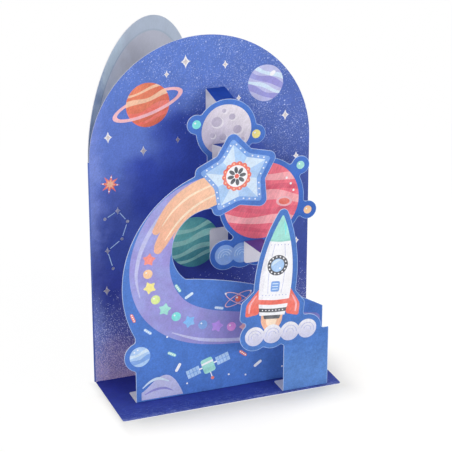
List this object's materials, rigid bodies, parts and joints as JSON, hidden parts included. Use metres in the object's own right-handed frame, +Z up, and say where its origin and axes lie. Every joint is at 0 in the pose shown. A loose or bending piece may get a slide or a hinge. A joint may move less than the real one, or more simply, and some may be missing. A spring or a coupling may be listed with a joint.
{
  "type": "pop-up greeting card",
  "caption": "Pop-up greeting card standing open: arched leaves folded at a left spine, a base leaf folded forward and die-cut layers held on folded struts.",
  "frame": {"origin": "centre of the base leaf's underside", "axes": "+Z up, -Y towards the viewer of the printed front, +X to the viewer's right; the spine is at -X"},
  "size_m": [0.1307, 0.1425, 0.198],
  "materials": {
    "card_print": "matt printed card, white reverse",
    "layer_print": "matt printed card, white reverse",
    "strut_print": "matt printed card, white reverse"
  },
  "bodies": {
    "root": {"card_sheet": "card_print", "middle_layer": "layer_print", "front_layer": "layer_print", "corner_figure": "layer_print", "moon_rear_strut": "strut_print", "moon_front_strut": "strut_print", "cloud_rear_strut": "strut_print", "cloud_front_strut": "strut_print"}
  },
  "joints": []
}
